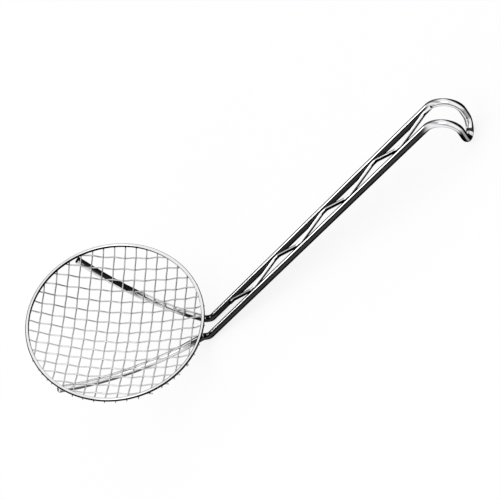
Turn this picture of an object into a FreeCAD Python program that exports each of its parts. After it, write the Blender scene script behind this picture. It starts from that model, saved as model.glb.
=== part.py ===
import FreeCAD, Part
import math
import os

# Fryer skimmer of bright plated steel wire, all dimensions in millimetres.
# It is drawn in the frame of its hoop, X from the hoop to the handle, Z up out of the dish.
# At the end it is tipped forward, until it lies on its neck and on the tip of its hook.

# Hoop, the round rim of the basket
HOOP_RADIUS = 81.0
HOOP_WIRE = 3.5

# Handle, one thick wire from leg to rail to hook and back again, drawn in five lengths
# Its two sides stand a little wider apart at the hook than at the neck
RAIL_WIRE = 6.4
RAIL_SPACING = 18.6
HOOK_SPACING = 20.4
NECK_REACH = 5.8
NECK_RISE_DEG = 58.1
NECK_BEND = 9.0
RAIL_LENGTH = 425.5
HOOK_BEND = 15.5
HOOK_TURN_DEG = 131.0
HOOK_TAIL = 8.5
SPLICE = 5.0
LEG_SPREAD_DEG = 123.5
LEG_BEND = 6.0
LEG_END_DROP = 0.6
LEG_PROUD = 1.0

# Brace, a zigzag between the two rails, welded to their inner sides
BRACE_WIRE = 3.5
BRACE_LIFT = 1.0
BRACE_START = 49.5
BRACE_HALF_PITCH = 47.0
BRACE_HALVES = 8
BRACE_FLAT = 8.0
BRACE_BEND = 14.0
BRACE_END = 4.0

# Woven mesh, dished, its cut ends under the hoop
MESH_WIRE = 1.3
MESH_COUNT = 15
MESH_SIDES = 5
MESH_SLACK = 0.04
MESH_PROUD = 1.3
RIM_CLIMB = 0.4
DISH_DEPTH = 18.5
DISH_POWER = 1.6

# Flats round the wire of the handle, and round the hoop and brace, few enough to keep the facets light
HANDLE_SIDES = 10
THIN_SIDES = 8

os.makedirs("parts", exist_ok=True)
V = FreeCAD.Vector

rail_r = RAIL_WIRE / 2
hoop_r = HOOP_WIRE / 2
brace_r = BRACE_WIRE / 2
mesh_r = MESH_WIRE / 2
rise = math.radians(NECK_RISE_DEG)
turn = math.radians(HOOK_TURN_DEG)

# Directions up the handle, square off its upper side, and down the tail of the hook
along = V(math.cos(rise), 0, math.sin(rise))
upper = V(-math.sin(rise), 0, math.cos(rise))
tail = along * math.cos(turn) - upper * math.sin(turn)
hook_reach = HOOK_BEND * math.tan(turn / 2)

# The outermost mesh wires stop just inside the hoop
mesh_pitch = HOOP_RADIUS / (MESH_COUNT / 2 + 0.48)

# Heights below the plane of the hoop: the mesh ends, the middle of the weave, and the neck under it
rim_z = -(hoop_r + mesh_r + MESH_SLACK)
weave_z = rim_z - mesh_r - MESH_SLACK
neck_z = rim_z - mesh_r - rail_r - MESH_SLACK


def dish_z(x, y):
    """Height of the middle of the weave above a point of the hoop's plane."""
    share = min(math.hypot(x, y) / HOOP_RADIUS, 1)
    return weave_z - DISH_DEPTH * (1 - share ** DISH_POWER)


def dish_slope(x, y):
    """Steepest slope of the dish there."""
    share = min(math.hypot(x, y) / HOOP_RADIUS, 1)
    return DISH_DEPTH * DISH_POWER * share ** (DISH_POWER - 1) / HOOP_RADIUS


def bent_path(points, radii):
    """Straight runs through the points, with a tangent arc at each inner one."""
    edges = []
    here = points[0]
    for before, corner, after, radius in zip(points, points[1:], points[2:], radii):
        back = (before - corner).normalize()
        ahead = (after - corner).normalize()
        half = back.getAngle(ahead) / 2
        reach = radius / math.tan(half)
        start = corner + back * reach
        end = corner + ahead * reach
        middle = (back + ahead).normalize()
        top = corner + middle * (radius / math.sin(half) - radius)
        if (start - here).Length > 1e-4:
            edges.append(Part.LineSegment(here, start).toShape())
        edges.append(Part.Arc(start, top, end).toShape())
        here = end
    edges.append(Part.LineSegment(here, points[-1]).toShape())
    return Part.Wire(edges)


def thick_wire(path, diameter, sides):
    """A thick wire along a bent path, cut square at its ends, with narrow flats all round."""
    first = path.Edges[0]
    start = first.valueAt(first.FirstParameter)
    along = first.tangentAt(first.FirstParameter)
    across = along.cross(V(0, 0, 1)).normalize()
    upward = across.cross(along)
    corners = []
    for side in range(sides + 1):
        turn = 2 * math.pi * (side % sides) / sides
        corners.append(start + (across * math.cos(turn) + upward * math.sin(turn)) * diameter / 2)
    return path.makePipe(Part.Face(Part.makePolygon(corners)))


def faceted_wire(points, diameter, sides):
    """A thin wire in one upright plane, bent at each point, with flat sides."""
    across = (points[-1] - points[0]).cross(V(0, 0, 1)).normalize()
    rings = []
    last = len(points) - 1
    for k, point in enumerate(points):
        into = (point - points[max(k - 1, 0)])
        out = (points[min(k + 1, last)] - point)
        if k == 0:
            into = out
        if k == last:
            out = into
        mean = (into.normalize() + out.normalize()).normalize()
        upward = across.cross(mean).normalize()
        stretch = 1 / math.cos(into.getAngle(out) / 2)
        ring = []
        for side in range(sides):
            turn = 2 * math.pi * (side + 0.5) / sides
            out_by = across * (diameter / 2 * math.cos(turn))
            ring.append(point + out_by + upward * (diameter / 2 * math.sin(turn) * stretch))
        rings.append(ring)
    faces = [Part.Face(Part.makePolygon(rings[0] + rings[0][:1]))]
    faces.append(Part.Face(Part.makePolygon(rings[-1] + rings[-1][:1])))
    for ring, following in zip(rings, rings[1:]):
        for a in range(sides):
            b = (a + 1) % sides
            corners = [ring[a], ring[b], following[b], following[a], ring[a]]
            faces.append(Part.Face(Part.makePolygon(corners)))
    solid = Part.Solid(Part.makeShell(faces))
    if solid.Volume < 0:
        solid.reverse()
    return solid


def make_hoop():
    """The rim: one round wire, its ends butt-welded into a ring."""
    return thick_wire(Part.Wire(Part.makeCircle(HOOP_RADIUS)), HOOP_WIRE, THIN_SIDES)


def leg_points(side):
    """Cut end under the rim, low corner under the dish, and corner at the neck."""
    angle = math.radians(LEG_SPREAD_DEG)
    radius = HOOP_RADIUS + LEG_PROUD
    neck = V(radius, side * RAIL_SPACING / 2, neck_z)
    end = V(radius * math.cos(angle), side * radius * math.sin(angle), neck_z - LEG_END_DROP)
    low = (neck + end) * 0.5
    steep = math.sqrt(1 + dish_slope(low.x, low.y) ** 2)
    under = dish_z(low.x, low.y) - (2 * mesh_r + rail_r) * steep
    span = (end - neck).Length / 2
    slope = 2 * math.atan((low.z - under) / span)
    low.z = low.z - span * math.tan(slope)
    return end, low, neck, slope


def bend_corner(side):
    """Corner at the foot of one rail, where the wire turns up out of the neck."""
    return V(HOOP_RADIUS + NECK_REACH, side * RAIL_SPACING / 2, neck_z)


def crown_corner(side):
    """Corner at the head of one rail, where the wire turns over into the hook."""
    head = V(HOOP_RADIUS + NECK_REACH, 0, neck_z) + along * (RAIL_LENGTH + hook_reach)
    return head + V(0, side * HOOK_SPACING / 2, 0)


def rail_point(side, distance):
    """Middle of one rail, at a distance up from its foot."""
    foot = bend_corner(side)
    return foot + (crown_corner(side) - foot).normalize() * distance


rail_low = NECK_BEND * math.tan(rise / 2) + SPLICE
rail_high = RAIL_LENGTH - SPLICE


def make_leg(side):
    """One leg under the dish, with the neck that carries it up to its rail."""
    end, low, neck, slope = leg_points(side)
    bend = bend_corner(side)
    leg_turn = (neck - low).getAngle(bend - neck)
    neck_use = LEG_BEND * math.tan(leg_turn / 2)
    leg_arc = ((low - neck).Length - neck_use - 1) / math.tan(slope)
    points = [rail_point(side, rail_low), bend, neck, low, end]
    return thick_wire(bent_path(points, [NECK_BEND, LEG_BEND, leg_arc]), RAIL_WIRE, HANDLE_SIDES)


def make_rail(side):
    """One straight side of the handle."""
    points = [rail_point(side, rail_low), rail_point(side, rail_high)]
    return thick_wire(bent_path(points, []), RAIL_WIRE, HANDLE_SIDES)


def make_hook():
    """The hook: both sides bent over, and joined by the U-bend at its tip."""
    tip_reach = tail * (hook_reach + HOOK_TAIL + HOOK_SPACING / 2)
    points = [rail_point(1, rail_high), crown_corner(1), crown_corner(1) + tip_reach]
    points += [crown_corner(-1) + tip_reach, crown_corner(-1), rail_point(-1, rail_high)]
    radii = [HOOK_BEND, HOOK_SPACING / 2, HOOK_SPACING / 2, HOOK_BEND]
    return thick_wire(bent_path(points, radii), RAIL_WIRE, HANDLE_SIDES)


def make_brace():
    """A wire bent to and fro between the rails, touching each in turn."""
    seat = rail_r + brace_r + MESH_SLACK
    inset = math.sqrt(seat ** 2 - BRACE_LIFT ** 2)
    points = []
    side = 1
    for k in range(BRACE_HALVES + 1):
        middle = rail_point(side, BRACE_START + k * BRACE_HALF_PITCH)
        middle = middle + upper * BRACE_LIFT - V(0, side * inset, 0)
        points.append(middle - along * (BRACE_FLAT / 2))
        points.append(middle + along * (BRACE_FLAT / 2))
        side = -side
    points[-1] = points[-1] + along * BRACE_END
    path = bent_path(points, [BRACE_BEND] * (len(points) - 2))
    return thick_wire(path, BRACE_WIRE, THIN_SIDES)


def mesh_stations(row, direction):
    """Places along one mesh wire and their heights, from cut end to cut end."""
    offset = row * mesh_pitch
    reach = math.sqrt((HOOP_RADIUS + hoop_r + MESH_PROUD) ** 2 - offset ** 2)
    rim = math.sqrt(HOOP_RADIUS ** 2 - offset ** 2)
    stations = []
    most = MESH_COUNT // 2
    for column in range(-most, most + 1):
        place = column * mesh_pitch
        if abs(place) > reach - mesh_r:
            continue
        over = direction if (row + column) % 2 == 0 else -direction
        steep = math.sqrt(1 + dish_slope(place, offset) ** 2)
        height = dish_z(place, offset) + over * (mesh_r + MESH_SLACK) * steep
        stations.append((place, min(height, rim_z)))
    last_place, last_height = stations[-1]
    room = rim - last_place
    end_height = last_height
    if room > mesh_r:
        climb = room * dish_slope(rim, offset) + max(0, room - 2.5 * MESH_WIRE) * RIM_CLIMB
        end_height = min(rim_z, last_height + climb)
        stations.append((rim, end_height))
        stations.insert(0, (-rim, end_height))
    stations.append((reach, end_height))
    stations.insert(0, (-reach, end_height))
    return stations


def make_mesh_wire(row, direction):
    """One mesh wire. Direction 1 runs along X, direction -1 runs along Y."""
    points = []
    for place, height in mesh_stations(row, direction):
        if direction == 1:
            points.append(V(place, row * mesh_pitch, height))
        else:
            points.append(V(row * mesh_pitch, place, height))
    return faceted_wire(points, MESH_WIRE, MESH_SIDES)


def lying_pose():
    """Turn about Y that lays the neck and the tip of the hook on the floor."""
    bend = V(HOOP_RADIUS + NECK_REACH, 0, neck_z)
    centre = bend + V(-NECK_BEND * math.tan(rise / 2), 0, NECK_BEND)
    crown = bend + along * (RAIL_LENGTH + hook_reach)
    tip = crown + tail * (hook_reach + HOOK_TAIL + HOOK_SPACING / 2)
    line = tip - centre
    return math.atan2(line.z, line.x) - math.asin(NECK_BEND / line.Length)


parts = {"hoop": make_hoop(), "hook": make_hook(), "zigzag_brace": make_brace()}
for name, side in (("left", 1), ("right", -1)):
    parts[name + "_leg"] = make_leg(side)
    parts[name + "_rail"] = make_rail(side)
half_count = MESH_COUNT // 2
for row in range(-half_count, half_count + 1):
    number = "%02d" % (row + half_count + 1)
    parts["mesh_long_wire_" + number] = make_mesh_wire(row, 1)
    parts["mesh_cross_wire_" + number] = make_mesh_wire(row, -1)

tip_over = lying_pose()
pose = FreeCAD.Placement(V(0, 0, 0), FreeCAD.Rotation(V(0, 1, 0), math.degrees(tip_over)))
low_x = 1e9
high_x = -1e9
floor = 1e9
for shape in parts.values():
    shape.Placement = pose.multiply(shape.Placement)
    box = shape.optimalBoundingBox(False)
    low_x = min(low_x, box.XMin)
    high_x = max(high_x, box.XMax)
    floor = min(floor, box.ZMin)
for name, shape in parts.items():
    shape.translate(V(-(low_x + high_x) / 2, 0, -floor))
    shape.exportStep("parts/" + name + ".step")
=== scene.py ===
import math
import bpy
from mathutils import Matrix, Vector


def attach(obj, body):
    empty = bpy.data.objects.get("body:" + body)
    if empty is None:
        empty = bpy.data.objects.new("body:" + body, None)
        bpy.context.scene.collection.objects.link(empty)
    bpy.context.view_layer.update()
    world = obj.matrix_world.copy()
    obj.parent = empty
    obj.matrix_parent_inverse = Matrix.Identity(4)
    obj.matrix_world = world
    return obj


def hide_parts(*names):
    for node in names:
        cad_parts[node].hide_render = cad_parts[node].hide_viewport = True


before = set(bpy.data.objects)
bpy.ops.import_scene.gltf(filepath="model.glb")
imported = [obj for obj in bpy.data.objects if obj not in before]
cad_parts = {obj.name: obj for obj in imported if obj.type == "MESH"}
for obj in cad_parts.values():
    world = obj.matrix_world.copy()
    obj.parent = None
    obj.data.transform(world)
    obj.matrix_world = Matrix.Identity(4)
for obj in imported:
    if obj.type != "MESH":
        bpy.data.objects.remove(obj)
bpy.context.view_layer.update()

# Handle frame. One thick drawn steel wire, bent into two legs, a neck, two rails and a hook
# with a closed U-bend at its tip. It is bent cold on pins, then bright plated all over.
# Its sizes are in millimetres, from the hoop's centre.
RAIL_GAUGE = 6.4
RAIL_SPACING = 18.6
HOOK_SPACING = 20.4
RAIL_LENGTH = 425.5
HOOP_RADIUS = 81.0
NECK_REACH = 5.8
NECK_DROP = 6.33
NECK_BEND = 9.0
HOOK_BEND = 15.5
HOOK_TURN = math.radians(131)
HOOK_TAIL = 8.5
RISE = math.radians(58.1)
LEG_SPREAD = math.radians(123.5)
LEG_RADIUS = 82.0
LEG_BEND = 6.0
LEG_SAG = 26.77
LEG_ROUND = 189.88
LEG_END_DROP = 0.6

# how the skimmer lies: turned about Y onto its neck and the tip of its hook
LYING_TURN = Matrix.Rotation(math.radians(50.25397), 3, "Y")
HOOP_CENTRE = Vector((-0.218358, 0, 0.073235))


def lying(x, y, z):
    """A point given in millimetres from the hoop's centre, Z up out of the dish, as it lies."""
    return HOOP_CENTRE + LYING_TURN @ Vector((x, y, z)) * 0.001


DEGREES_PER_STEP = 5
FEWEST_STEPS = 4


def bent_line(corners, radii):
    """Points along straight runs with a round bend at each inner corner, close in the bends."""
    line = [corners[0]]
    for before, corner, after, radius in zip(corners, corners[1:], corners[2:], radii):
        back = (before - corner).normalized()
        ahead = (after - corner).normalized()
        half = back.angle(ahead) / 2
        middle = (back + ahead).normalized()
        centre = corner + middle * radius / math.sin(half)
        start = corner + back * radius / math.tan(half) - centre
        turn = math.pi - 2 * half
        axis = start.cross(-back).normalized()
        steps = max(FEWEST_STEPS, int(math.degrees(turn) / DEGREES_PER_STEP))
        for step in range(steps + 1):
            line.append(centre + Matrix.Rotation(turn * step / steps, 3, axis) @ start)
    line.append(corners[-1])
    return line


# a cut end narrows to this share of the wire's radius, over this share of it
EASED_RADIUS = 0.72
EASED_LENGTH = 0.3


def drawn_wire(name, line, gauge, sides=28, ring=False):
    """A round wire along a line in metres, gauge in millimetres, its cut ends a little eased."""
    radius = gauge / 2000
    count = len(line)
    stations = []
    for k in range(count):
        if ring:
            along = (line[(k + 1) % count] - line[k - 1]).normalized()
        else:
            along = (line[min(k + 1, count - 1)] - line[max(k - 1, 0)]).normalized()
        stations.append((line[k], along, radius))
    if not ring:
        first, along, _ = stations[0]
        stations[0] = (first, along, radius * EASED_RADIUS)
        stations.insert(1, (first + along * radius * EASED_LENGTH, along, radius))
        last, along, _ = stations[-1]
        stations[-1] = (last, along, radius * EASED_RADIUS)
        stations.insert(-1, (last - along * radius * EASED_LENGTH, along, radius))
    verts = []
    travelled = []
    side = stations[0][1].orthogonal().normalized()
    before = stations[0][1]
    far = 0.0
    for k, (place, along, size) in enumerate(stations):
        side = before.rotation_difference(along) @ side
        side = (side - along * side.dot(along)).normalized()
        other = along.cross(side)
        before = along
        if k:
            far += (place - stations[k - 1][0]).length
        travelled.append(far)
        for s in range(sides):
            turn = 2 * math.pi * s / sides
            verts.append(place + (side * math.cos(turn) + other * math.sin(turn)) * size)
    rows = len(stations)
    faces = []
    marks = []
    for k in range(rows if ring else rows - 1):
        following = (k + 1) % rows
        end = travelled[following] if following else far + (line[0] - line[-1]).length
        here, there = k * sides, following * sides
        for s in range(sides):
            t = (s + 1) % sides
            faces.append((here + s, here + t, there + t, there + s))
            low, high = s / sides, (s + 1) / sides
            marks.append([(travelled[k], low), (travelled[k], high), (end, high), (end, low)])
    if not ring:
        faces.append(tuple(range(sides - 1, -1, -1)))
        faces.append(tuple((rows - 1) * sides + s for s in range(sides)))
        marks.append([(0, s / sides) for s in range(sides)])
        marks.append([(far, s / sides) for s in range(sides)])
    mesh = bpy.data.meshes.new(name)
    mesh.from_pydata(verts, [], faces)
    # centimetres along the wire, and the share of a turn round it
    layer = mesh.uv_layers.new(name="drawn")
    for face, mark in zip(mesh.polygons, marks):
        face.use_smooth = len(face.vertices) == 4
        for loop, (run, turn) in zip(face.loop_indices, mark):
            layer.data[loop].uv = (run * 100, turn)
    wire = bpy.data.objects.new(name, mesh)
    bpy.context.collection.objects.link(wire)
    return wire


def turned_to(plate, direction):
    """How far the surface faces a direction that is fixed in the room, -1 to 1."""
    nodes = plate.node_tree.nodes
    facing = nodes.new("ShaderNodeVectorMath")
    facing.operation = "DOT_PRODUCT"
    facing.inputs[1].default_value = direction
    plate.node_tree.links.new(nodes["Geometry"].outputs["Normal"], facing.inputs[0])
    return facing.outputs["Value"]


def spot_on(plate):
    """The place on the wire in metres, as its X, Y and Z."""
    nodes = plate.node_tree.nodes
    spot = nodes.new("ShaderNodeSeparateXYZ")
    plate.node_tree.links.new(nodes["Texture Coordinate"].outputs["Object"], spot.inputs["Vector"])
    return spot.outputs


def between(plate, value, start, full, low=0.0, high=1.0, way="SMOOTHSTEP"):
    """A change from low to high, as the value goes from start to full, soft at both ends."""
    change = plate.node_tree.nodes.new("ShaderNodeMapRange")
    change.interpolation_type = way
    change.inputs["From Min"].default_value = start
    change.inputs["From Max"].default_value = full
    change.inputs["To Min"].default_value = low
    change.inputs["To Max"].default_value = high
    plate.node_tree.links.new(value, change.inputs["Value"])
    return change.outputs["Result"]


def both(plate, one, other):
    """Two shares multiplied."""
    product = plate.node_tree.nodes.new("ShaderNodeMath")
    product.operation = "MULTIPLY"
    plate.node_tree.links.new(one, product.inputs[0])
    plate.node_tree.links.new(other, product.inputs[1])
    return product.outputs[0]


def belt(plate, value, rise, fall):
    """A share with two soft edges. Each edge is given as the values where it is nil and full."""
    return both(plate, between(plate, value, *rise), between(plate, value, *fall))


# the plate is a touch blue
BLUE_CAST = 1.01


def graded(material, value, tones):
    """Greys along a value that runs from 0 to 1. Each tone is a place, -1 to 1, and its grey."""
    ramp = material.node_tree.nodes.new("ShaderNodeValToRGB")
    stops = ramp.color_ramp.elements
    while len(stops) < len(tones):
        stops.new(0.5)
    for stop, (place, grey) in zip(stops, tones):
        stop.position = (place + 1) / 2
        stop.color = (grey, grey, grey * BLUE_CAST, 1)
    material.node_tree.links.new(value, ramp.inputs["Fac"])
    return ramp.outputs["Color"]


def laid_over(plate, share, under, over, way="MIX"):
    """One colour over another, by its share. Any of them may be fixed or come from a node."""
    layer = plate.node_tree.nodes.new("ShaderNodeMix")
    layer.data_type = "RGBA"
    layer.blend_type = way
    for name, given in (("Factor", share), ("A", under), ("B", over)):
        if isinstance(given, bpy.types.NodeSocket):
            plate.node_tree.links.new(given, layer.inputs[name])
        else:
            layer.inputs[name].default_value = given
    return layer.outputs["Result"]


# draw lines are long one way and fine round the wire, clouds are about a centimetre wide
LINE_STRETCH = (0.55, 34, 1)
LINE_SCALE = 1.6
LINE_DETAIL = 5
LINE_ROUGHNESS = 0.62
LINE_RANGE = (0.34, 0.62)
LINE_DEPTH = 0.0002
LINE_STRENGTH = 0.12
CLOUD_SCALE = 95
CLOUD_DETAIL = 4
CLOUD_ROUGHNESS = 0.6
CLOUD_RANGE = (0.3, 0.7)
RAGGED_EDGE = 0.08
DULL_AT_EDGE = (0.2, 0.2, 0.21, 1)


def bright_plate(name, tones, painted_light_axis, roughness, wear):
    """Bright plate on drawn wire: fine draw lines along it, cloudy patches, and painted highlight
    and painted shade, laid by how far the surface faces one direction fixed in the room. tones
    gives the grey of the plate from facing away from that direction, -1, to facing it, 1."""
    plate = bpy.data.materials.new(name)
    plate.use_nodes = True
    nodes = plate.node_tree.nodes
    links = plate.node_tree.links
    nodes.clear()
    out = nodes.new("ShaderNodeOutputMaterial")
    metal = nodes.new("ShaderNodeBsdfPrincipled")
    metal.inputs["Metallic"].default_value = 1.0
    metal.inputs["Specular Tint"].default_value = DULL_AT_EDGE
    links.new(metal.outputs["BSDF"], out.inputs["Surface"])
    drawn = nodes.new("ShaderNodeUVMap")
    drawn.uv_map = "drawn"
    stretch = nodes.new("ShaderNodeMapping")
    stretch.inputs["Scale"].default_value = LINE_STRETCH
    links.new(drawn.outputs["UV"], stretch.inputs["Vector"])
    lines = nodes.new("ShaderNodeTexNoise")
    lines.inputs["Scale"].default_value = LINE_SCALE
    lines.inputs["Detail"].default_value = LINE_DETAIL
    lines.inputs["Roughness"].default_value = LINE_ROUGHNESS
    links.new(stretch.outputs["Vector"], lines.inputs["Vector"])
    spot = nodes.new("ShaderNodeTexCoord")
    clouds = nodes.new("ShaderNodeTexNoise")
    clouds.inputs["Scale"].default_value = CLOUD_SCALE
    clouds.inputs["Detail"].default_value = CLOUD_DETAIL
    clouds.inputs["Roughness"].default_value = CLOUD_ROUGHNESS
    links.new(spot.outputs["Object"], clouds.inputs["Vector"])
    # the painted highlight and shade go by how far the surface faces one way, ragged by clouds
    nodes.new("ShaderNodeNewGeometry")
    ragged = nodes.new("ShaderNodeMath")
    ragged.operation = "MULTIPLY_ADD"
    ragged.inputs[1].default_value = RAGGED_EDGE
    links.new(clouds.outputs["Fac"], ragged.inputs[0])
    links.new(turned_to(plate, painted_light_axis), ragged.inputs[2])
    lowest, highest = RAGGED_EDGE / 2 - 1, RAGGED_EDGE / 2 + 1
    turned = between(plate, ragged.outputs[0], lowest, highest, way="LINEAR")
    turned.node.name = "Turned"
    shaded_tone = graded(plate, turned, tones)
    shaded_tone.node.name = "Shaded tone"
    # the draw lines wear through as streaks, the clouds are duller and brighter in gloss
    streak = between(plate, lines.outputs["Fac"], *LINE_RANGE, 1 - wear, 1.0, way="LINEAR")
    worn = laid_over(plate, 1.0, shaded_tone, streak, "MULTIPLY")
    worn.node.name = "Worn"
    links.new(worn, metal.inputs["Base Color"])
    gloss = between(plate, clouds.outputs["Fac"], *CLOUD_RANGE, roughness * 0.7, roughness * 1.5,
                    way="LINEAR")
    links.new(gloss, metal.inputs["Roughness"])
    relief = nodes.new("ShaderNodeBump")
    relief.inputs["Strength"].default_value = LINE_STRENGTH
    relief.inputs["Distance"].default_value = LINE_DEPTH
    links.new(lines.outputs["Fac"], relief.inputs["Height"])
    links.new(relief.outputs["Normal"], metal.inputs["Normal"])
    return plate


def shaded_tone_of(plate):
    """The plate's grey with its painted highlight and shade, before the other marks are laid over
    it.
    """
    return plate.node_tree.nodes["Shaded tone"].outputs["Color"]


def finish_with(plate, painted_light):
    """Give the plate this colour, which carries painted light and shade, under its worn streaks.
    """
    plate.node_tree.links.new(painted_light, plate.node_tree.nodes["Worn"].inputs["A"])


PAINTED_LIGHT_AXIS = (-0.13, 0.55, 0.825)
THICK_WIRE_ROUGHNESS = 0.11
# the rails' greys are painted: one painted highlight band, painted dark reflection round the rest
rail_shading = [(-1, 0.006), (-0.68, 0.008), (-0.52, 0.06), (0.02, 0.055), (0.16, 0.006),
              (0.40, 0.01), (0.53, 0.93), (0.66, 0.93), (0.75, 0.05), (1, 0.03)]
rail_plate = bright_plate("rail_plate", rail_shading, PAINTED_LIGHT_AXIS, THICK_WIRE_ROUGHNESS, wear=0.1)
spot = spot_on(rail_plate)
upward = rail_plate.node_tree.nodes["Turned"].outputs["Result"]

# the hook's own painted highlight, with painted dark reflection on its outer side and thin lines
HOOK_CROSSWISE = (-0.661, -0.574, 0.484)
crosswise = between(rail_plate, turned_to(rail_plate, HOOK_CROSSWISE), -1, 1, way="LINEAR")
hook_shading = [(-1, 0.4), (-0.97, 0.2), (-0.92, 0.01), (-0.52, 0.01), (-0.4, 0.93), (0.07, 0.93),
              (0.14, 0.5), (0.35, 0.45), (0.42, 0.93), (0.67, 0.93), (0.8, 0.25)]
hook_painted_lines = [(-1, 0.4), (-0.72, 0.45), (-0.6, 1), (0.6, 1), (0.68, 0.3), (0.9, 0.1)]
hook_painted_light = laid_over(rail_plate, 1.0, graded(rail_plate, crosswise, hook_shading),
                      graded(rail_plate, upward, hook_painted_lines), "MULTIPLY")
on_hook = between(rail_plate, spot["X"], 0.248, 0.262)
painted_light = laid_over(rail_plate, on_hook, shaded_tone_of(rail_plate), hook_painted_light)

# painted dark reflection near the tip, on one wire's inner side and in a band on the U-bend
INNER_SIDE = (-0.543, -0.099, 0.834)
DARK_REFLECTION_GREY = (0.03, 0.03, 0.03, 1)
near_tip = both(rail_plate, between(rail_plate, spot["Z"], 0.042, 0.034), on_hook)
one_wire = both(rail_plate, near_tip, between(rail_plate, spot["Y"], -0.0038, -0.0056))
inner_side = between(rail_plate, turned_to(rail_plate, INNER_SIDE), -0.5, -0.3)
painted_light = laid_over(rail_plate, both(rail_plate, one_wire, inner_side), painted_light, DARK_REFLECTION_GREY)
band = belt(rail_plate, spot["Y"], (-0.0006, 0.0004), (0.0028, 0.0018))
painted_light = laid_over(rail_plate, both(rail_plate, band, near_tip), painted_light, DARK_REFLECTION_GREY)

# between those two the round of the tip gets a painted highlight, its under edge painted shade
UNDER_EDGE = (-0.376, -0.859, -0.347)
TIP_HIGHLIGHT_GREY = (0.9, 0.9, 0.9, 1)
UNDER_EDGE_SHADE = (0.012, 0.012, 0.012, 1)
round_of_tip = belt(rail_plate, spot["Y"], (-0.0056, -0.0044), (-0.0003, -0.0011))
painted_light = laid_over(rail_plate, both(rail_plate, round_of_tip, near_tip), painted_light, TIP_HIGHLIGHT_GREY)
under_edge = between(rail_plate, turned_to(rail_plate, UNDER_EDGE), 0.72, 0.84)
under_tip = both(rail_plate, near_tip, under_edge)
under_tip = both(rail_plate, under_tip, between(rail_plate, spot["Y"], 0.003, 0.001))
painted_light = laid_over(rail_plate, under_tip, painted_light, UNDER_EDGE_SHADE)

# the far end of the leg on the +Y side gets painted dark reflection on its upper side only
LEGS_REACH = 0.08
crossing = between(rail_plate, spot["Y"], -LEGS_REACH, LEGS_REACH, way="LINEAR")
leg_end_shading = graded(rail_plate, upward, [(-0.06, 0.93), (0.04, 0.012)])
painted_light = laid_over(rail_plate, between(rail_plate, crossing, 0.73, 0.77), painted_light, leg_end_shading)

# the rest of the legs get a painted highlight but for two painted dark lines, and the lower of
# those lines on the leg on the -Y side thins out towards the neck
LEG_HIGHLIGHT_GREY = (0.95, 0.95, 0.95, 1)
leg_shading = [(-1, 0.12), (-0.5, 0.12), (-0.4, 1), (0.26, 1), (0.31, 0.1), (0.37, 0.1),
             (0.42, 1), (0.78, 1), (0.88, 0.4)]
on_legs = [(-0.26, 0.95), (-0.19, 0), (0.19, 0), (0.26, 0.95), (0.44, 0.95), (0.54, 0)]
thinned = both(rail_plate, between(rail_plate, spot["Y"], -0.038, -0.031, high=0.75),
               between(rail_plate, spot["Y"], -0.008, -0.014))
leg_painted_light = laid_over(rail_plate, thinned, graded(rail_plate, upward, leg_shading), LEG_HIGHLIGHT_GREY)
painted_light = laid_over(rail_plate, graded(rail_plate, crossing, on_legs), painted_light, leg_painted_light)
finish_with(rail_plate, painted_light)

# where a wire is cut the steel is bare, dull and dark
TORN_GRAIN = 900
cut_steel = bpy.data.materials.new("cut_steel")
cut_steel.use_nodes = True
bare = cut_steel.node_tree.nodes["Principled BSDF"]
bare.inputs["Metallic"].default_value = 1.0
bare.inputs["Roughness"].default_value = 0.5
torn = cut_steel.node_tree.nodes.new("ShaderNodeTexNoise")
torn.inputs["Scale"].default_value = TORN_GRAIN
bare_grey = graded(cut_steel, torn.outputs["Fac"], [(-0.4, 0.03), (0.4, 0.11)])
cut_steel.node_tree.links.new(bare_grey, bare.inputs["Base Color"])


def plate_wire(wire, plate):
    """Plate all round the wire, bare steel on its two cut ends."""
    wire.data.materials.append(plate)
    wire.data.materials.append(cut_steel)
    for face in wire.data.polygons:
        if len(face.vertices) > 4:
            face.material_index = 1


up_rail = Vector((math.cos(RISE), 0, math.sin(RISE)))
above_rail = Vector((-math.sin(RISE), 0, math.cos(RISE)))
down_tail = up_rail * math.cos(HOOK_TURN) - above_rail * math.sin(HOOK_TURN)
hook_reach = HOOK_BEND * math.tan(HOOK_TURN / 2)


def rail_ends(side):
    """Corner at the foot of one rail, and corner at its head, where the hook begins."""
    foot = Vector((HOOP_RADIUS + NECK_REACH, side * RAIL_SPACING / 2, -NECK_DROP))
    head = Vector((HOOP_RADIUS + NECK_REACH, 0, -NECK_DROP)) + up_rail * (RAIL_LENGTH + hook_reach)
    head.y = side * HOOK_SPACING / 2
    return foot, head


halves = []
for side in (1, -1):
    neck = Vector((LEG_RADIUS, side * RAIL_SPACING / 2, -NECK_DROP))
    end = Vector((LEG_RADIUS * math.cos(LEG_SPREAD), side * LEG_RADIUS * math.sin(LEG_SPREAD),
                  -NECK_DROP - LEG_END_DROP))
    low = (neck + end) / 2 - Vector((0, 0, LEG_SAG))
    foot, head = rail_ends(side)
    tip = head + down_tail * (hook_reach + HOOK_TAIL + HOOK_SPACING / 2)
    halves.append([end, low, neck, foot, head, tip])
corners = [lying(*corner) for corner in halves[0] + halves[1][::-1]]
bends = [LEG_ROUND / 1000, LEG_BEND / 1000, NECK_BEND / 1000, HOOK_BEND / 1000,
         HOOK_SPACING / 2000]
handle = drawn_wire("handle_wire", bent_line(corners, bends + bends[::-1]), RAIL_GAUGE, sides=36)
plate_wire(handle, rail_plate)
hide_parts("left_leg", "right_leg", "left_rail", "right_rail", "hook")
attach(handle, "root")

# Zigzag brace. A thinner drawn steel wire bent to and fro, set between the two rails and
# resistance-welded to their inner sides at each bend. It keeps the long rails from spreading.
BRACE_GAUGE = 3.5
BRACE_LIFT = 1.0
BRACE_START = 49.5
BRACE_HALF_PITCH = 47.0
BRACE_HALVES = 8
BRACE_FLAT = 8.0
BRACE_BEND = 14.0
BRACE_END = 4.0
BRACE_SLACK = 0.04
BRACE_PAINTED_LIGHT_AXIS = (0.887, 0.1, 0.452)
THIN_WIRE_ROUGHNESS = 0.11
THIN_WIRE_WEAR = 0.08

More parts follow.
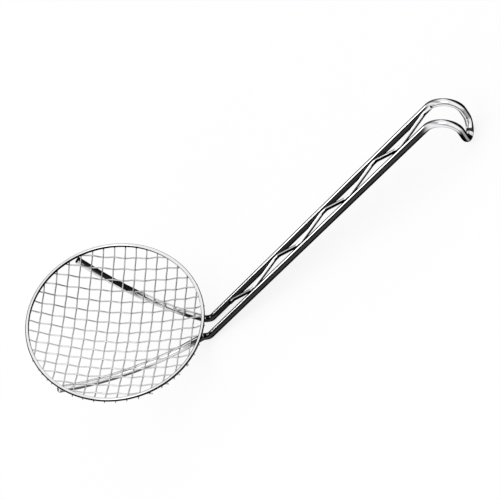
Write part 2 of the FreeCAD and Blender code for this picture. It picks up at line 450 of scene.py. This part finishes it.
brace_inset = math.sqrt(((RAIL_GAUGE + BRACE_GAUGE) / 2 + BRACE_SLACK) ** 2 - BRACE_LIFT ** 2)
brace_corners = []
for half in range(BRACE_HALVES + 1):
    side = 1 if half % 2 == 0 else -1
    foot, head = rail_ends(side)
    middle = foot + (head - foot).normalized() * (BRACE_START + half * BRACE_HALF_PITCH)
    middle += above_rail * BRACE_LIFT
    middle.y -= side * brace_inset
    brace_corners.append(middle - up_rail * BRACE_FLAT / 2)
    brace_corners.append(middle + up_rail * BRACE_FLAT / 2)
brace_corners[-1] += up_rail * BRACE_END
brace_corners = [lying(*corner) for corner in brace_corners]
brace_line = bent_line(brace_corners, [BRACE_BEND / 1000] * (len(brace_corners) - 2))
brace = drawn_wire("zigzag_wire", brace_line, BRACE_GAUGE, sides=24)
# the brace's greys: a painted highlight on the side facing its direction, painted shade elsewhere
brace_shading = [(-1, 0.01), (0.11, 0.006), (0.19, 0.97)]
brace_plate = bright_plate("brace_plate", brace_shading, BRACE_PAINTED_LIGHT_AXIS, THIN_WIRE_ROUGHNESS,
                           THIN_WIRE_WEAR)
# a thin painted grey line, a painted reflection, runs along the brace's upper side
upper_line = between(brace_plate, turned_to(brace_plate, PAINTED_LIGHT_AXIS), 0.8, 0.92, 1.0, 0.3)
finish_with(brace_plate,
            laid_over(brace_plate, 1.0, shaded_tone_of(brace_plate), upper_line, "MULTIPLY"))
plate_wire(brace, brace_plate)
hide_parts("zigzag_brace")
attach(brace, "root")

# Hoop. The rim of the basket, a drawn steel wire rolled into a ring, butt-welded shut and
# dressed smooth at the joint, so that nothing is seen of it under the plate.
HOOP_GAUGE = 3.5
HOOP_STEPS = 160
OUTER_EDGE_SHADE = (0.015, 0.015, 0.015, 1)

hoop_line = []
for step in range(HOOP_STEPS):
    turn = 2 * math.pi * step / HOOP_STEPS
    hoop_line.append(lying(HOOP_RADIUS * math.cos(turn), HOOP_RADIUS * math.sin(turn), 0))
hoop = drawn_wire("hoop_wire", hoop_line, HOOP_GAUGE, sides=28, ring=True)
# the hoop's greys: a painted highlight band, painted shade on the rest of the wire
hoop_shading = [(-1, 0.02), (-0.8, 0.005), (-0.06, 0.006), (0.06, 0.95), (0.7, 0.95),
              (0.82, 0.01), (1, 0.01)]
hoop_plate = bright_plate("hoop_plate", hoop_shading, PAINTED_LIGHT_AXIS, THIN_WIRE_ROUGHNESS,
                          THIN_WIRE_WEAR)
hoop.data.materials.append(hoop_plate)
# the outer side of the rim is painted dark all round, a painted shade along its outer edge
nodes = hoop_plate.node_tree.nodes
links = hoop_plate.node_tree.links
from_middle = nodes.new("ShaderNodeVectorMath")
from_middle.operation = "SUBTRACT"
from_middle.inputs[1].default_value = HOOP_CENTRE
links.new(nodes["Texture Coordinate"].outputs["Object"], from_middle.inputs[0])
outward = nodes.new("ShaderNodeVectorMath")
outward.operation = "NORMALIZE"
links.new(from_middle.outputs["Vector"], outward.inputs[0])
outer = nodes.new("ShaderNodeVectorMath")
outer.operation = "DOT_PRODUCT"
links.new(outward.outputs["Vector"], outer.inputs[0])
links.new(nodes["Geometry"].outputs["Normal"], outer.inputs[1])
outer_edge_shade = between(hoop_plate, outer.outputs["Value"], 0.48, 0.62)
finish_with(hoop_plate, laid_over(hoop_plate, outer_edge_shade, shaded_tone_of(hoop_plate), OUTER_EDGE_SHADE))
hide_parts("hoop")
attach(hoop, "root")

# Basket mesh. Fifteen long and fifteen cross steel wires, crimped over and under each other,
# trimmed round and pressed into a shallow dish. Their cut ends are spot-welded under the hoop.
MESH_GAUGE = 1.3
MESH_COUNT = 15
MESH_MARGIN = 0.48
MESH_PITCH = HOOP_RADIUS / (MESH_COUNT / 2 + MESH_MARGIN)
MESH_SLACK = 0.04
MESH_PROUD = 0.2
MESH_STEPS = 8
RIM_CLIMB = 0.4
RIM_ROOM = 2.5
RIM_STEPS = 6
DISH_DEPTH = 18.5
DISH_POWER = 1.6
MESH_PAINTED_LIGHT_AXIS = (-0.545, -0.102, 0.832)
MESH_ROUGHNESS = 0.18
MESH_WEAR = 0.16
PALER_GREY = (0.85, 0.85, 0.86, 1)

mesh_radius = MESH_GAUGE / 2
rim_z = -(HOOP_GAUGE / 2 + mesh_radius + MESH_SLACK)
weave_z = rim_z - mesh_radius - MESH_SLACK


def dish_height(x, y):
    """Height of the weave's middle over a place in the dish."""
    share = min(math.hypot(x, y) / HOOP_RADIUS, 1)
    return weave_z - DISH_DEPTH * (1 - share ** DISH_POWER)


def dish_slope(x, y):
    """How steep the dish is at a place, as rise over run."""
    share = min(math.hypot(x, y) / HOOP_RADIUS, 1)
    return DISH_DEPTH * DISH_POWER * share ** (DISH_POWER - 1) / HOOP_RADIUS


def crimped(row, direction):
    """Distance along one mesh wire and its height, waved between its crossings."""
    offset = row * MESH_PITCH
    reach = math.sqrt((HOOP_RADIUS + HOOP_GAUGE / 2 + MESH_PROUD) ** 2 - offset ** 2)
    rim = math.sqrt(HOOP_RADIUS ** 2 - offset ** 2)
    last = min(MESH_COUNT // 2, int((reach - mesh_radius) / MESH_PITCH))

    def height(place):
        wave = direction * math.cos(math.pi * (row + place / MESH_PITCH))
        steep = math.sqrt(1 + dish_slope(place, offset) ** 2)
        wave_height = wave * (mesh_radius + MESH_SLACK) * steep
        return min(dish_height(place, offset) + wave_height, rim_z)

    # past its last crossing the wire climbs to its seat under the hoop
    edge = last * MESH_PITCH
    room = rim - edge
    end = height(edge)
    outer = []
    if room > mesh_radius:
        climb = room * dish_slope(rim, offset) + max(0, room - RIM_ROOM * MESH_GAUGE) * RIM_CLIMB
        end = min(rim_z, end + climb)
        for step in range(1, RIM_STEPS + 1):
            share = step / RIM_STEPS
            ease = share * share * (3 - 2 * share)
            outer.append((edge + room * share, height(edge) + (end - height(edge)) * ease))
    outer.append((reach, end))
    inner = []
    for k in range(-MESH_STEPS * last, MESH_STEPS * last + 1):
        place = k * MESH_PITCH / MESH_STEPS
        inner.append((place, height(place)))
    return [(-place, z) for place, z in reversed(outer)] + inner + outer


# the mesh wires' greys: paler on the side facing its direction, painted shade on the rest
mesh_shading = [(-1, 0.25), (-0.75, 0.1), (-0.22, 0.12), (-0.04, 0.55), (1, 0.65)]
mesh_plate = bright_plate("mesh_plate", mesh_shading, MESH_PAINTED_LIGHT_AXIS, MESH_ROUGHNESS, MESH_WEAR)
# the mesh is paler towards the -Y side of the dish
paler_side = between(mesh_plate, spot_on(mesh_plate)["Y"], 0.04, -0.03, high=0.6)
finish_with(mesh_plate, laid_over(mesh_plate, paler_side, shaded_tone_of(mesh_plate), PALER_GREY))
for row in range(-(MESH_COUNT // 2), MESH_COUNT // 2 + 1):
    for kind, direction in (("long", 1), ("cross", -1)):
        offset = row * MESH_PITCH
        if direction == 1:
            line = [lying(place, offset, height) for place, height in crimped(row, direction)]
        else:
            line = [lying(offset, place, height) for place, height in crimped(row, direction)]
        number = "%02d" % (row + MESH_COUNT // 2 + 1)
        strand = drawn_wire("mesh_" + kind + "_strand_" + number, line, MESH_GAUGE, sides=12)
        plate_wire(strand, mesh_plate)
        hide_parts("mesh_" + kind + "_wire_" + number)
        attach(strand, "root")

# Studio. A matt white table top, wide and plain, that the skimmer lies on. It keeps the shadow.
# It leans a little, to carry both the neck and the tip of the hook as the skimmer is posed.
TABLE_SLOPE = math.tan(math.radians(2.443))
TABLE_REACH = 8
NECK_X = -0.164
NECK_Z = -0.00014
PAPER_GRAIN = 60
PAPER_SHADE = (0.93, 0.93, 0.93, 1)
PAPER_LIGHT = (0.96, 0.96, 0.96, 1)
WHITE_SHARE = 0.8

table_corners = []
for x, y in ((-1, -1), (1, -1), (1, 1), (-1, 1)):
    x, y = x * TABLE_REACH, y * TABLE_REACH
    table_corners.append((x, y, (x - NECK_X) * TABLE_SLOPE + NECK_Z))
table_mesh = bpy.data.meshes.new("table_top")
table_mesh.from_pydata(table_corners, [], [(0, 1, 2, 3)])
table_top = bpy.data.objects.new("table_top", table_mesh)
bpy.context.collection.objects.link(table_top)
paper = bpy.data.materials.new("white_paper")
paper.use_nodes = True
nodes = paper.node_tree.nodes
links = paper.node_tree.links
sheet_of_paper = nodes["Principled BSDF"]
sheet_of_paper.inputs["Roughness"].default_value = 0.9
sheet_of_paper.inputs["Specular IOR Level"].default_value = 0.1
grain = nodes.new("ShaderNodeTexNoise")
grain.inputs["Scale"].default_value = PAPER_GRAIN
pale = laid_over(paper, grain.outputs["Fac"], PAPER_SHADE, PAPER_LIGHT)
links.new(pale, sheet_of_paper.inputs["Base Color"])
# seen by the eye, in the wire or through it, the sheet is nearly white and keeps a soft shadow
white = nodes.new("ShaderNodeEmission")
white.inputs["Strength"].default_value = 1.0
ray = nodes.new("ShaderNodeLightPath")
seen = nodes.new("ShaderNodeMath")
seen.operation = "ADD"
links.new(ray.outputs["Is Camera Ray"], seen.inputs[0])
links.new(ray.outputs["Is Glossy Ray"], seen.inputs[1])
either = nodes.new("ShaderNodeMath")
either.operation = "ADD"
links.new(seen.outputs[0], either.inputs[0])
links.new(ray.outputs["Is Transmission Ray"], either.inputs[1])
whitened = nodes.new("ShaderNodeMath")
whitened.operation = "MULTIPLY"
whitened.inputs[1].default_value = WHITE_SHARE
links.new(either.outputs[0], whitened.inputs[0])
blend = nodes.new("ShaderNodeMixShader")
links.new(whitened.outputs[0], blend.inputs["Fac"])
links.new(sheet_of_paper.outputs["BSDF"], blend.inputs[1])
links.new(white.outputs["Emission"], blend.inputs[2])
links.new(blend.outputs["Shader"], nodes["Material Output"].inputs["Surface"])
table_mesh.materials.append(paper)

# Lamps. A plain room of soft grey light, with one broad soft box to the front of the skimmer
# and a smaller, weaker one behind its basket.
ROOM_GREY = (0.92, 0.92, 0.92, 1)
LIT_PLACE = Vector((0, 0, 0.05))

room = bpy.data.worlds.new("soft_room")
room.use_nodes = True
room.node_tree.nodes["Background"].inputs["Color"].default_value = ROOM_GREY
room.node_tree.nodes["Background"].inputs["Strength"].default_value = 1.0
bpy.context.scene.world = room


def soft_box(name, place, wide, high, watts):
    """A soft box that stands at a place and is turned to the skimmer."""
    lamp = bpy.data.lights.new(name, "AREA")
    lamp.shape = "RECTANGLE"
    lamp.size = wide
    lamp.size_y = high
    lamp.energy = watts
    box = bpy.data.objects.new(name, lamp)
    box.location = place
    box.rotation_euler = (LIT_PLACE - Vector(place)).to_track_quat("-Z", "Y").to_euler()
    bpy.context.collection.objects.link(box)


soft_box("front_box", (2.22, -1.51, 2.09), wide=2.4, high=1.8, watts=18)
soft_box("far_box", (-2.0, 0.55, 1.35), wide=1.0, high=0.6, watts=5)

# Camera. A long lens at the photograph's viewing angle, a little over three metres off.
# Its three directions and its place are given from the hoop's centre, like the wires' sizes.
LENS_LENGTH = 254.35
SENSOR_WIDTH = 36
FARTHEST_SEEN = 50
RIGHT = (0.98837382, 0.0990891, -0.11531929)
UP = (-0.0265305, 0.85922477, 0.5109099)
BACK = (0.14971079, -0.50191049, 0.85186415)
VIEWPOINT = (602.0617, -1547.8273, 2761.8307)

lens = bpy.data.cameras.new("long_lens")
lens.lens = LENS_LENGTH
lens.sensor_width = SENSOR_WIDTH
lens.clip_end = FARTHEST_SEEN
viewer = bpy.data.objects.new("viewer", lens)
axes = [LYING_TURN @ Vector(axis) for axis in (RIGHT, UP, BACK)]
stand = Matrix(axes).transposed().to_4x4()
stand.translation = lying(*VIEWPOINT)
viewer.matrix_world = stand
bpy.context.collection.objects.link(viewer)
bpy.context.scene.camera = viewer
bpy.context.scene.view_settings.view_transform = "Standard"
